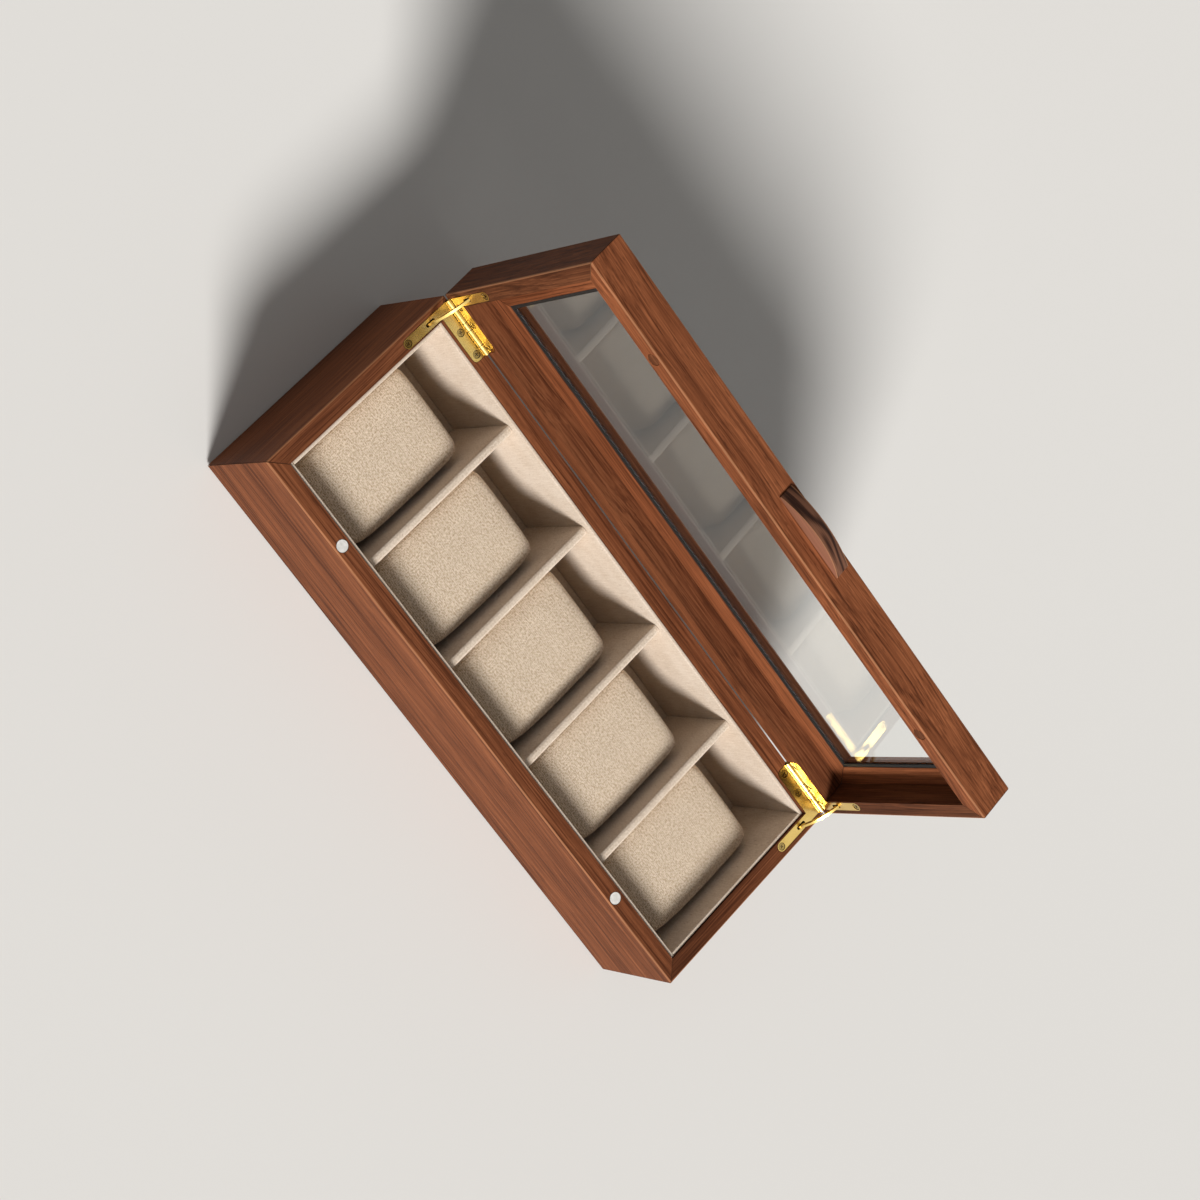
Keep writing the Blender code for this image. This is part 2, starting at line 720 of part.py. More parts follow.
def make_hinges(base_rails, lid_rails, lid):
    """Two mirrored side-rail hinges, let in flush, each with its pin, stay and screws."""
    hole = screw_hole_mesh()
    screw = screw_mesh()
    lid_screw = repeated("lid_screw", screw, [(0, 0, 0)], True).data
    for label, side in (("left", -1), ("right", 1)):
        stem = f"hinge_{label}"
        seats = make_leaf(f"{stem}_lower_leaf", side, False, None, hole)
        seats.append(stay_pocket(f"{stem}_lower_pocket", side, False, None))
        cut(base_rails[label], *seats)
        cut(base_rails["back"], *seats[:-1])
        seats = make_leaf(f"{stem}_upper_leaf", side, True, lid, hole)
        seats.append(stay_pocket(f"{stem}_upper_pocket", side, True, lid))
        cut(lid_rails[label], *seats)
        cut(lid_rails["back"], *seats[:-1])
        length = barrel_outer - barrel_inner - 2 * knuckle_gap
        pin = cylinder(f"{stem}_pin", pin_radius, length, knuckle_sides, "X")
        put(pin, (side * (barrel_outer + barrel_inner) / 2, axis_y, axis_z), brass)
        carrier = pivot(f"{stem}_stay_pivot", (side * arm_x, axis_y, axis_z))
        make_stay(f"{stem}_stay", side, carrier)
        for i, place in enumerate(screw_places(side, base_screw_shares, rim - screw_drop), 1):
            put(bpy.data.objects.new(f"base_hinge_screw_{label}_{i}", screw), place, brass, turn=i * screw_turn)
        for i, place in enumerate(screw_places(side, lid_screw_shares, lid_rim + screw_drop), 1):
            fixing = bpy.data.objects.new(f"lid_hinge_screw_{label}_{i}", lid_screw)
            put(fixing, place, brass, lid, i * screw_turn)


lid_pivot = pivot("lid_pivot", (0, axis_y, axis_z), radians(lid_open_degrees))
base = make_base()
make_lining()
make_dividers()
make_cushions()
make_magnets(base["front"], "base", rim, True)
lid_frame = make_lid(lid_pivot)
make_magnets(lid_frame["front"], "lid", lid_rim, False, cap_thickness, lid_pivot)
make_handle(lid_frame["front"], lid_pivot)
make_hinges(base, lid_frame, lid_pivot)
bpy.context.view_layer.update()
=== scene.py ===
"""Looks of the watch display box: finishes, stuffed cushions, light and camera."""

import json
import math
from dataclasses import dataclass

import bpy
import numpy as np
from mathutils import Matrix, Vector


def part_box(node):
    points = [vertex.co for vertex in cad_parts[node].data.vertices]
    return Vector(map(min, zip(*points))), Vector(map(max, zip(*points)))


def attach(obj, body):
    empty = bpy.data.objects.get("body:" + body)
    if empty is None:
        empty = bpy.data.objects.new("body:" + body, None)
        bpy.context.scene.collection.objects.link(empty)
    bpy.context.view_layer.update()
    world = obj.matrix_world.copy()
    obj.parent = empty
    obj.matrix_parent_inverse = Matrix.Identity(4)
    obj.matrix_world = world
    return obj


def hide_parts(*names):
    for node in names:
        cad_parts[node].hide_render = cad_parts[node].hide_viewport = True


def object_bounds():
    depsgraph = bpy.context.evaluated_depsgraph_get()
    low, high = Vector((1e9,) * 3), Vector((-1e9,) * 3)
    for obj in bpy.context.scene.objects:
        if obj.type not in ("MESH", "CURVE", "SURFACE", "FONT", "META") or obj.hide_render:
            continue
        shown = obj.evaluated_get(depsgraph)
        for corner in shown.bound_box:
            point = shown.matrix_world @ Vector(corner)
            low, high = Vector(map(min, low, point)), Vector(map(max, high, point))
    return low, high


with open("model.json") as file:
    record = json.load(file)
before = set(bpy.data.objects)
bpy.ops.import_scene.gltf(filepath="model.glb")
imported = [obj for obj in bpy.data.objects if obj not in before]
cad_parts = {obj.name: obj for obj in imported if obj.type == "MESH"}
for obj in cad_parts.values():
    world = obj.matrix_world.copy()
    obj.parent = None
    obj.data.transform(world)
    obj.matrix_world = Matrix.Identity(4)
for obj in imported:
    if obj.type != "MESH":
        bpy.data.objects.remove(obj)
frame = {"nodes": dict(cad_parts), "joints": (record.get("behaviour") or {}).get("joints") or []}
cad_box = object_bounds()


@dataclass
class Texture:
    """Noise, with the length and width of its blotches, its layers of finer detail and its distortion."""

    along: float
    across: float
    detail: float = 2
    rough: float = 0.55
    warp: float = 0.0


# Sizes in metres, angles in degrees, colours as red, green and blue in sRGB.
# A surface holds the shader's own levels, by the names of its sockets.
# A ramp is a row of places from 0 to 1, each with its colour or level.
# A relief is the depth of a bump, and the share of it that shows.
# A roughness is a pair of levels, where the texture is 0 and where it is 1.

# Camera, as solved from the photograph, with its lens and sensor in millimetres
camera_place = (-0.52447, -0.54444, 1.33697)
camera_turn = (-0.685, -31.42, 49.122)
camera_lens = 93.585
camera_sensor = 36

# Light and floor
key_from = (0.508, -0.649, 0.565)
key_spread = 20
key_level = 4.6
ambient_level = 0.19
backdrop_level = 0.9
floor_size = 14
floor_drop = 0.0002
floor_colour = (222, 219, 214)
floor_surface = {"Specular IOR Level": 0.2, "Roughness": 0.9}

# Walnut boards, whose tone is a share of the full colour
walnut_ramp = ((0.39, (84, 45, 26)), (0.50, (124, 71, 44)), (0.61, (156, 94, 60)))
walnut_vein = (52, 27, 17)
# Colour of the painted highlight on eased edges
walnut_edge_highlight = (206, 146, 104)
full_board = 1.0
front_board = 0.9
deep_board = 0.82
lid_side_board = 0.7
plug_board = 0.72
board_step = (0.37, 0.11, 0.23)
case_seed = 1
lid_seed = 5
window_seed = 9
plug_seed = 14
wood_surface = {"Specular IOR Level": 0.04}
wood_rough = (0.42, 0.62)
wood_relief = (0.00006, 0.5)

# Walnut figure, from fine lines to broad bands, with its shares of the tone
line_texture = Texture(0.045, 0.0007)
line_share = 0.45
line_height = 0.5
grain_texture = Texture(0.12, 0.0021, warp=0.15)
grain_share = 0.22
figure_texture = Texture(0.3, 0.022, warp=0.3)
figure_share = 0.33
streak_texture = Texture(0.075, 0.0016, detail=1, warp=0.35)
streak_ramp = ((0.27, 1.0), (0.35, 0.0))
streak_share = 0.42
pore_texture = Texture(0.006, 0.0005, detail=1)
pore_ramp = ((0.60, 0.0), (0.68, 1.0))
case_pore_share = 0.3
lid_pore_share = 0.38
sway_texture = Texture(0.11, 0.03, detail=1)
case_sway = 0.004
lid_sway = 3 * case_sway

# Walnut edges, with the painted highlight on them, and joints
eased_below = 0.96
edge_highlight_share = 0.33
arris_polish = 0.15
mitre_line = 0.00022
mitre_share = 0.7

# Handle wood, whose places are those of the closed lid
handle_light = (124, 84, 64)
handle_ramp = ((0.08, (50, 31, 24)), (0.20, (88, 58, 44)), (0.34, handle_light))
handle_under_ramp = ((0.36, handle_light), (0.6, (140, 92, 72)))
handle_under_texture = Texture(0.04, 0.0007)
handle_loop = (0.007, 0.0775)
handle_loop_stretch = 7
handle_band = 0.0034
handle_band_share = 0.12
handle_drift = 1.5 * handle_band
handle_drift_texture = Texture(0.02, 0.005, detail=0)
handle_line_texture = Texture(0.03, 0.0006)
handle_line_share = 0.4
handle_depth_share = 0.1
handle_levels = (0.0749, 0.0837)
handle_arris = 0.00045
# Share of the painted highlight along the handle's curved edges
handle_highlight_share = 0.5
handle_curved_below = 0.94
handle_rough = (0.34, 0.54)
handle_relief = (0.00005, 0.5)

# Linen of the cushions
linen_surface = {"Specular IOR Level": 0.2, "Roughness": 0.9, "Sheen Weight": 0.25, "Sheen Roughness": 0.5}
linen_ramp = ((0.55, (166, 141, 112)), (0.79, (226, 208, 185)))
linen_fleck = (166, 136, 104)
linen_fleck_texture = Texture(0.0028, 0.0014, detail=1)
linen_fleck_ramp = ((0.66, 0.0), (0.74, 0.45))
linen_relief = (0.0002, 0.6)
thread_pitch = 0.0009
thread_wander = 1.6
thread_wander_texture = Texture(0.006, 0.006)
thread_share = 0.2
thread_height = 0.6
pebble_texture = Texture(0.0008, 0.0006, detail=1, rough=0.5, warp=0.6)
pebble_height = 2.2
slub_texture = Texture(0.009, 0.0009)
slub_share = 0.2

# Suede of the linings and dividers
suede_surface = {"Specular IOR Level": 0.15, "Roughness": 0.95, "Sheen Weight": 0.3, "Sheen Roughness": 0.45}
suede_ramp = ((0.37, (194, 173, 150)), (0.60, (220, 204, 186)))
suede_fleck = (146, 112, 84)
suede_fleck_texture = Texture(0.004, 0.0009, detail=1)
suede_fleck_ramp = ((0.70, 0.0), (0.77, 0.6))
suede_relief = (0.00025, 0.6)
nap_texture = Texture(0.0009, 0.0009, detail=3, rough=0.7)
lining_nap_share = 0.5
divider_nap_share = 0.75
stroke_texture = Texture(0.009, 0.0008)
blotch_texture = Texture(0.02, 0.014)

# Metal
brass_surface = {"Metallic": 1.0, "Coat Weight": 0.6, "Coat Roughness": 0.06}
brass_ramp = ((0.3, (220, 184, 96)), (0.7, (236, 202, 116)))
# Colour of the painted shade in the brass's narrow gaps and corners
brass_gap_shade = (74, 46, 14)
brass_texture = Texture(0.006, 0.006)
brass_rough = (0.18, 0.28)
brass_relief = (0.00002, 0.25)
hinge_tone = 1.0
# The screws' brass is darker, as painted shade for their dark countersunk recesses
screw_shade_tone = 0.76
nickel_surface = {"Metallic": 1.0}
nickel_ramp = ((0.3, (212, 208, 200)), (0.7, (234, 230, 224)))
# Colour of the painted shade in the nickel's narrow gaps and corners
nickel_gap_shade = (96, 88, 80)
nickel_texture = Texture(0.002, 0.002)
nickel_rough = (0.28, 0.48)
nickel_relief = (0.00002, 0.3)
# Painted shade in the metal's gaps and corners: how far the occlusion looks, its samples and its ramp
gap_shade_reach = 0.0009
gap_shade_samples = 8
gap_shade_ramp = ((0.35, 1.0), (0.85, 0.0))

# Glass, seal, felt and panel
glass_surface = {"Transmission Weight": 1.0, "IOR": 1.45}
glass_tint = (250, 252, 251)
haze_texture = Texture(0.05, 0.05)
haze_ramp = ((0.5, 0.0), (0.9, 0.008))
seal_surface = {"Specular IOR Level": 0.4, "Roughness": 0.55}
seal_ramp = ((0.3, (16, 16, 16)), (0.7, (30, 29, 28)))
seal_texture = Texture(0.001, 0.001)
seal_relief = (0.00001, 0.3)
felt_surface = {"Specular IOR Level": 0.1, "Roughness": 1.0, "Sheen Weight": 0.4}
felt_ramp = ((0.3, (14, 13, 13)), (0.75, (44, 41, 40)))
felt_texture = Texture(0.0016, 0.0005, detail=4, rough=0.7, warp=1.0)
felt_relief = (0.0003, 0.6)
birch_surface = {"Specular IOR Level": 0.3, "Roughness": 0.6}
birch_ramp = ((0.3, (196, 164, 122)), (0.7, (222, 194, 154)))
birch_texture = Texture(0.12, 0.006, detail=4)
birch_relief = (0.00005, 0.4)

# Smooth shading of round pieces
weld_distance = 0.000002
round_angle = 32

# Cushions
foam_voxel = 0.0028
foam_start_share = 0.965
foam_pressure = 4
foam_quality = 4
foam_frames = 20
foam_swell_least = 0.0006
foam_cap = 0.0035
foam_clearance = 0.00015
side_above = 0.8


def shade(colour):
    """A colour written in sRGB, as the numbers that a shader takes."""
    linear = []
    for value in colour:
        part = value / 255
        linear.append(part / 12.92 if part <= 0.04045 else ((part + 0.055) / 1.055) ** 2.4)
    return (*linear, 1)


def deeper(ramp, tone):
    """A ramp of colours, with each colour at a share of its own."""
    return [(place, [tone * part for part in colour]) for place, colour in ramp]


class Finish:
    """A material whose nodes are made one call at a time."""

    def __init__(self, name, surface):
        self.material = bpy.data.materials.new(name)
        self.material.use_nodes = True
        self.tree = self.material.node_tree
        self.shader = self.tree.nodes["Principled BSDF"]
        for socket, value in surface.items():
            self.shader.inputs[socket].default_value = value
        self.place = self.add("ShaderNodeTexCoord").outputs["Object"]

    def add(self, kind, **settings):
        """A new node with its settings made."""
        node = self.tree.nodes.new(kind)
        for setting, value in settings.items():
            setattr(node, setting, value)
        return node

    def feed(self, socket, value):
        """Sets a socket to a number, a colour or another node's output."""
        if isinstance(value, bpy.types.NodeSocket):
            self.tree.links.new(value, socket)
        else:
            socket.default_value = value

    def math(self, operation, *values):
        """The result of one step of arithmetic."""
        node = self.add("ShaderNodeMath", operation=operation)
        for socket, value in zip(node.inputs, values):
            self.feed(socket, value)
        return node.outputs[0]

    def total(self, *parts):
        """Several values added up, each times its share."""
        (first, first_share), *others = parts
        result = self.math("MULTIPLY", first, first_share)
        for value, share in others:
            result = self.math("ADD", result, self.math("MULTIPLY", value, share))
        return result

    def between(self, value, levels):
        """A level that goes from the first to the second as a value goes from 0 to 1."""
        first, second = levels
        return self.math("MULTIPLY_ADD", value, second - first, first)

    def split(self, vector):
        """The three parts of a vector."""
        node = self.add("ShaderNodeSeparateXYZ")
        self.feed(node.inputs[0], vector)
        return node.outputs

    def turned(self, vector, angle=(0, 0, 0), shift=(0, 0, 0), stretch=(1, 1, 1)):
        """A place after it is stretched, turned and shifted."""
        node = self.add("ShaderNodeMapping")
        self.feed(node.inputs["Vector"], vector)
        node.inputs["Rotation"].default_value = [math.radians(a) for a in angle]
        node.inputs["Location"].default_value = shift
        node.inputs["Scale"].default_value = stretch
        return node.outputs[0]

    def cloud(self, vector, texture):
        """A texture's level at a place, from 0 to 1."""
        stretch = (1 / texture.along, 1 / texture.across, 1 / texture.across)
        node = self.add("ShaderNodeTexNoise")
        self.feed(node.inputs["Vector"], self.turned(vector, stretch=stretch))
        node.inputs["Scale"].default_value = 1
        node.inputs["Detail"].default_value = texture.detail
        node.inputs["Roughness"].default_value = texture.rough
        node.inputs["Distortion"].default_value = texture.warp
        return node.outputs["Fac"]

    def wander(self, vector, texture, reach):
        """A slow drift to either side of zero, over about the reach given."""
        drift = self.math("SUBTRACT", self.cloud(vector, texture), 0.5)
        return self.math("MULTIPLY", drift, reach)

    def ramp(self, value, stops):
        """The colour or level that a ramp has at a value."""
        node = self.add("ShaderNodeValToRGB")
        self.feed(node.inputs[0], value)
        elements = node.color_ramp.elements
        while len(elements) < len(stops):
            elements.new(0.5)
        for element, (place, colour) in zip(elements, stops):
            element.position = place
            element.color = (colour,) * 3 + (1,) if isinstance(colour, float) else shade(colour)
        return node.outputs[0]

    def mix(self, share, first, second):
        """A share of the second colour over the first."""
        node = self.add("ShaderNodeMix", data_type="RGBA")
        self.feed(node.inputs[0], share)
        self.feed(node.inputs[6], first)
        self.feed(node.inputs[7], second)
        return node.outputs[2]

    def bump(self, height, relief):
        """A fine unevenness in how the light falls."""
        depth, strength = relief
        node = self.add("ShaderNodeBump")
        node.inputs["Strength"].default_value = strength
        node.inputs["Distance"].default_value = depth
        self.feed(node.inputs["Height"], height)
        self.feed(self.shader.inputs["Normal"], node.outputs[0])

    def colour(self, value):
        """The surface's own colour."""
        self.feed(self.shader.inputs["Base Color"], value)

    def rough(self, value):
        """How far the surface is from polished."""
        self.feed(self.shader.inputs["Roughness"], value)


# Places on the wood, for its mitre lines and for grain that stays on the lid as it turns

def case_half(node):
    """Half the length and half the depth of the box."""
    low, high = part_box(node)
    return (high.x - low.x) / 2, -low.y


half_length, half_depth = case_half("base_front_rail")
hinge = next(j for j in frame["joints"] if j["name"] == "lid_hinge")
hinge_place = hinge["pos_m"]
lid_open = hinge["range_deg"][1]


def closed_place(finish, on_lid):
    """Where a point of the wood would be with the lid closed."""
    if not on_lid:
        return finish.place
    node = finish.add("ShaderNodeVectorRotate", rotation_type="X_AXIS")
    finish.feed(node.inputs["Vector"], finish.place)
    node.inputs["Center"].default_value = hinge_place
    node.inputs["Angle"].default_value = math.radians(lid_open)
    return node.outputs[0]


def swayed(finish, board, reach):
    """The board's own directions, with its grain swaying gently from side to side."""
    drift = finish.wander(board, sway_texture, reach)
    step = finish.add("ShaderNodeCombineXYZ")
    finish.feed(step.inputs["Y"], drift)
    finish.feed(step.inputs["Z"], drift)
    moved = finish.add("ShaderNodeVectorMath", operation="ADD")
    finish.feed(moved.inputs[0], board)
    finish.feed(moved.inputs[1], step.outputs[0])
    return moved.outputs[0]


def facing(finish):
    """How far each face looks along the object's own X, Y and Z, from 0 to 1."""
    turn = finish.add("ShaderNodeVectorTransform", vector_type="NORMAL", convert_to="OBJECT")
    finish.feed(turn.inputs[0], finish.add("ShaderNodeNewGeometry").outputs["True Normal"])
    bare = finish.add("ShaderNodeVectorMath", operation="ABSOLUTE")
    finish.feed(bare.inputs[0], turn.outputs[0])
    return finish.split(bare.outputs[0])


def eased(finish):
    """1 on the narrow slanted faces of eased edges, and 0 on the flat faces."""
    along, across, up = facing(finish)
    most = finish.math("MAXIMUM", finish.math("MAXIMUM", along, across), up)
    return finish.math("LESS_THAN", most, eased_below)


def mitre(finish, place):
    """How strongly the fine joint line shows where two rails meet, and 0 elsewhere."""
    parts = finish.split(place)
    from_end = finish.math("SUBTRACT", half_length, finish.math("ABSOLUTE", parts["X"]))
    from_face = finish.math("SUBTRACT", half_depth, finish.math("ABSOLUTE", parts["Y"]))
    away = finish.math("ABSOLUTE", finish.math("SUBTRACT", from_end, from_face))
    return finish.math("MULTIPLY", finish.math("LESS_THAN", away, mitre_line), mitre_share)


# Finishes

def walnut(name, on_lid, across_rail, seed, tone=full_board, sway=case_sway, pore_share=case_pore_share):
    """Walnut along its rail: fine lines, soft bands, short pores, a few thin dark streaks and a painted
    highlight on its eased edges.
    """
    finish = Finish(name, wood_surface)
    place = closed_place(finish, on_lid)
    quarter = 90 if across_rail else 0
    board = finish.turned(place, angle=(0, 0, quarter), shift=[seed * step for step in board_step])
    board = swayed(finish, board, sway)
    lines = finish.cloud(board, line_texture)
    grain = finish.cloud(board, grain_texture)
    figure = finish.cloud(board, figure_texture)
    streaks = finish.cloud(board, streak_texture)
    pores = finish.cloud(board, pore_texture)
    level = finish.total((lines, line_share), (grain, grain_share), (figure, figure_share))
    wood = finish.ramp(level, deeper(walnut_ramp, tone))
    streak = finish.math("MULTIPLY", finish.ramp(streaks, streak_ramp), streak_share)
    wood = finish.mix(streak, wood, shade(walnut_vein))
    pore = finish.ramp(pores, pore_ramp)
    wood = finish.mix(finish.math("MULTIPLY", pore, pore_share), wood, shade(walnut_vein))
    edge = eased(finish)
    # Painted highlight: eased edges are mixed towards a pale walnut
    wood = finish.mix(finish.math("MULTIPLY", edge, edge_highlight_share), wood, shade(walnut_edge_highlight))
    finish.colour(finish.mix(mitre(finish, place), wood, shade(walnut_vein)))
    polish = finish.math("MULTIPLY", edge, arris_polish)
    finish.rough(finish.math("SUBTRACT", finish.between(lines, wood_rough), polish))
    finish.bump(finish.math("SUBTRACT", finish.math("MULTIPLY", lines, line_height), pore), wood_relief)
    return finish.material


def growth_rings(finish, place, flattened):
    """Bands from -1 to 1 that loop round one place of the handle."""
    parts = finish.split(place)
    loop_x, loop_z = handle_loop
    out = finish.math("DIVIDE", finish.math("SUBTRACT", parts["X"], loop_x), handle_loop_stretch)
    out = finish.math("POWER", finish.math("ABSOLUTE", out), 2)
    rise = finish.math("POWER", finish.math("ABSOLUTE", finish.math("SUBTRACT", parts["Z"], loop_z)), 2)
    ring = finish.math("SQRT", finish.math("ADD", out, rise))
    drift = finish.cloud(flattened, handle_drift_texture)
    ring = finish.math("ADD", ring, finish.math("MULTIPLY", drift, handle_drift))
    return finish.math("SINE", finish.math("MULTIPLY", ring, 2 * math.pi / handle_band))


def handle_wood(name):
    """A darker block whose growth rings loop along its curved face, paler under its lower face, with a
    painted highlight along the top and bottom of its curved face.
    """
    finish = Finish(name, wood_surface)
    place = closed_place(finish, True)
    flattened = finish.turned(place, stretch=(1, handle_depth_share, 1))
    band = growth_rings(finish, place, flattened)
    lines = finish.cloud(flattened, handle_line_texture)
    level = finish.total((band, handle_band_share), (lines, handle_line_share))
    wood = finish.ramp(level, handle_ramp)
    under = finish.ramp(finish.cloud(place, handle_under_texture), handle_under_ramp)
    up = finish.split(place)["Z"]
    lowest, highest = handle_levels
    low = finish.math("LESS_THAN", up, lowest + handle_arris)
    high = finish.math("GREATER_THAN", up, highest - handle_arris)
    curved = finish.math("LESS_THAN", facing(finish)["Y"], handle_curved_below)
    wood = finish.mix(finish.math("GREATER_THAN", low, curved), wood, under)
    # Painted highlight: bands at the top and bottom of the curved face take the pale edge colour
    edge = finish.math("MULTIPLY", finish.math("MAXIMUM", low, high), curved)
    edge = finish.math("MULTIPLY", edge, handle_highlight_share)
    finish.colour(finish.mix(edge, wood, shade(walnut_edge_highlight)))
    finish.rough(finish.between(lines, handle_rough))
    finish.bump(lines, handle_relief)
    return finish.material


def threads(finish, woven):
    """How high the threads of a plain weave stand, each over one and under the next."""
    parts = finish.split(woven)
    wander = finish.wander(woven, thread_wander_texture, thread_wander)
    along = finish.math("ADD", finish.math("DIVIDE", parts["X"], thread_pitch), wander)
    across = finish.math("SUBTRACT", finish.math("DIVIDE", parts["Y"], thread_pitch), wander)
    warp = finish.math("SINE", finish.math("MULTIPLY", finish.math("FRACT", along), math.pi))
    weft = finish.math("SINE", finish.math("MULTIPLY", finish.math("FRACT", across), math.pi))
    count = finish.math("ADD", finish.math("FLOOR", along), finish.math("FLOOR", across))
    odd = finish.math("GREATER_THAN", finish.math("FRACT", finish.math("MULTIPLY", count, 0.5)), 0.25)
    node = finish.add("ShaderNodeMix", data_type="FLOAT")
    finish.feed(node.inputs[0], odd)
    finish.feed(node.inputs[2], finish.math("MULTIPLY", finish.math("SQRT", warp), weft))
    finish.feed(node.inputs[3], finish.math("MULTIPLY", finish.math("SQRT", weft), warp))
    return node.outputs[0]


def linen(name):
    """Woven cloth with a pebbled face, soft slubs and a few darker flecks."""
    finish = Finish(name, linen_surface)
    woven = finish.add("ShaderNodeUVMap", uv_map="weave").outputs[0]
    height = threads(finish, woven)
    pebble = finish.cloud(woven, pebble_texture)
    slub = finish.cloud(woven, slub_texture)
    level = finish.math("ADD", finish.total((height, thread_share), (slub, slub_share)), pebble)
    fleck = finish.ramp(finish.cloud(woven, linen_fleck_texture), linen_fleck_ramp)
    finish.colour(finish.mix(fleck, finish.ramp(level, linen_ramp), shade(linen_fleck)))
    finish.bump(finish.total((height, thread_height), (pebble, pebble_height)), linen_relief)
    return finish.material


def suede(name, nap_share):
    """Short-napped cloth glued to a board, with a few darker fibres in it."""
    finish = Finish(name, suede_surface)
    upright = finish.turned(finish.place, angle=(0, 90, 0))
    nap = finish.cloud(finish.place, nap_texture)
    stroke = finish.cloud(upright, stroke_texture)
    blotch = finish.cloud(finish.place, blotch_texture)
    other_share = (1 - nap_share) / 2
    level = finish.total((nap, nap_share), (stroke, other_share), (blotch, other_share))
    fleck = finish.ramp(finish.cloud(upright, suede_fleck_texture), suede_fleck_ramp)
    finish.colour(finish.mix(fleck, finish.ramp(level, suede_ramp), shade(suede_fleck)))
    finish.bump(nap, suede_relief)
    return finish.material


def metal(name, surface, ramp, gap_shade_colour, texture, rough, relief):
    """Metal with faint smears, and painted shade deep in its narrow gaps and corners, where an occlusion
    node darkens its colour.
    """
    finish = Finish(name, surface)
    smear = finish.cloud(finish.place, texture)
    # Painted shade: the colour darkens where ambient occlusion finds nearby surfaces
    node = finish.add("ShaderNodeAmbientOcclusion", samples=gap_shade_samples)
    node.inputs["Distance"].default_value = gap_shade_reach
    painted_gap_shade = finish.ramp(node.outputs["AO"], gap_shade_ramp)
    finish.colour(finish.mix(painted_gap_shade, finish.ramp(smear, ramp), shade(gap_shade_colour)))
    finish.rough(finish.between(smear, rough))
    finish.bump(smear, relief)
    return finish.material


def brass(name, tone):
    """Polished and lacquered, so its colour is gold and its brightest lights are white."""
    ramp = deeper(brass_ramp, tone)
    return metal(name, brass_surface, ramp, brass_gap_shade, brass_texture, brass_rough, brass_relief)


def nickel(name):
    """Dull silvery plate."""
    return metal(name, nickel_surface, nickel_ramp, nickel_gap_shade, nickel_texture, nickel_rough, nickel_relief)


def glass(name):
    """Clear, with a trace of haze."""
    finish = Finish(name, glass_surface)
    finish.colour(shade(glass_tint))
    finish.rough(finish.ramp(finish.cloud(finish.place, haze_texture), haze_ramp))
    return finish.material


def grained(name, surface, ramp, texture, relief):
    """A finish with one grain in its colour and its bump."""
    finish = Finish(name, surface)
    grain = finish.cloud(finish.place, texture)
    finish.colour(finish.ramp(grain, ramp))
    finish.bump(grain, relief)
    return finish.material


def rubber(name):
    """Black, with a fine even grain."""
    return grained(name, seal_surface, seal_ramp, seal_texture, seal_relief)


def felt(name):
    """Black fibres, matted together."""
    return grained(name, felt_surface, felt_ramp, felt_texture, felt_relief)


def birch(name):
    """The pale face of a plywood panel."""
    return grained(name, birch_surface, birch_ramp, birch_texture, birch_relief)


# Foam cushions, swelled by a cloth simulation inside their covers

def vertex_rows(item, kind):
    """The places (co) or the directions (normal) of a mesh's vertices, one row each."""
    found = np.zeros(len(item.data.vertices) * 3)
    item.data.vertices.foreach_get(kind, found)
    return found.reshape(-1, 3)


def apply_modifiers(item):
    """Puts what the modifiers make into the object's own mesh."""
    depsgraph = bpy.context.evaluated_depsgraph_get()
    made = bpy.data.meshes.new_from_object(item.evaluated_get(depsgraph))
    item.modifiers.clear()
    item.data = made


def smaller_copy(node, middle):
    """A copy of a CAD solid, drawn in towards its middle and meshed evenly."""
    item = bpy.data.objects.new(node + "_cover", frame["nodes"][node].data.copy())
    bpy.context.scene.collection.objects.link(item)
    item.data.transform(Matrix.Translation(-middle))
    item.data.transform(Matrix.Scale(foam_start_share, 4))
    item.data.transform(Matrix.Translation(middle))
    modifier = item.modifiers.new("foam", "REMESH")
    modifier.mode = "VOXEL"
    modifier.voxel_size = foam_voxel
    apply_modifiers(item)
    return item


def blow_up(item):
    """Swells a mesh as cloth with air pressed into it."""
    cloth = item.modifiers.new("swell", "CLOTH")
    cloth.settings.use_pressure = True
    cloth.settings.uniform_pressure_force = foam_pressure
    cloth.settings.effector_weights.gravity = 0
    cloth.settings.quality = foam_quality
    cloth.point_cache.frame_start = 1
    cloth.point_cache.frame_end = foam_frames
    for step in range(1, foam_frames + 1):
        bpy.context.scene.frame_set(step)
    apply_modifiers(item)
    bpy.context.scene.frame_set(1)


def swelled(node):
    """A cover blown up from a smaller copy of its cushion, smoothed, and inside the cushion's box."""
    low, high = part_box(node)
    cover = smaller_copy(node, (low + high) / 2)
    start = vertex_rows(cover, "co")
    outward = vertex_rows(cover, "normal")
    blow_up(cover)
    swelling = np.sum((vertex_rows(cover, "co") - start) * outward, axis=1, keepdims=True)
    kept = start + outward * np.clip(swelling, foam_swell_least, foam_cap)
    kept = np.clip(kept, np.array(low) + foam_clearance, np.array(high) - foam_clearance)
    cover.data.vertices.foreach_set("co", kept.ravel())
    cover.data.update()
    smooth = cover.modifiers.new("smooth", "SUBSURF")
    smooth.levels = 1
    apply_modifiers(cover)
    return cover, low, high


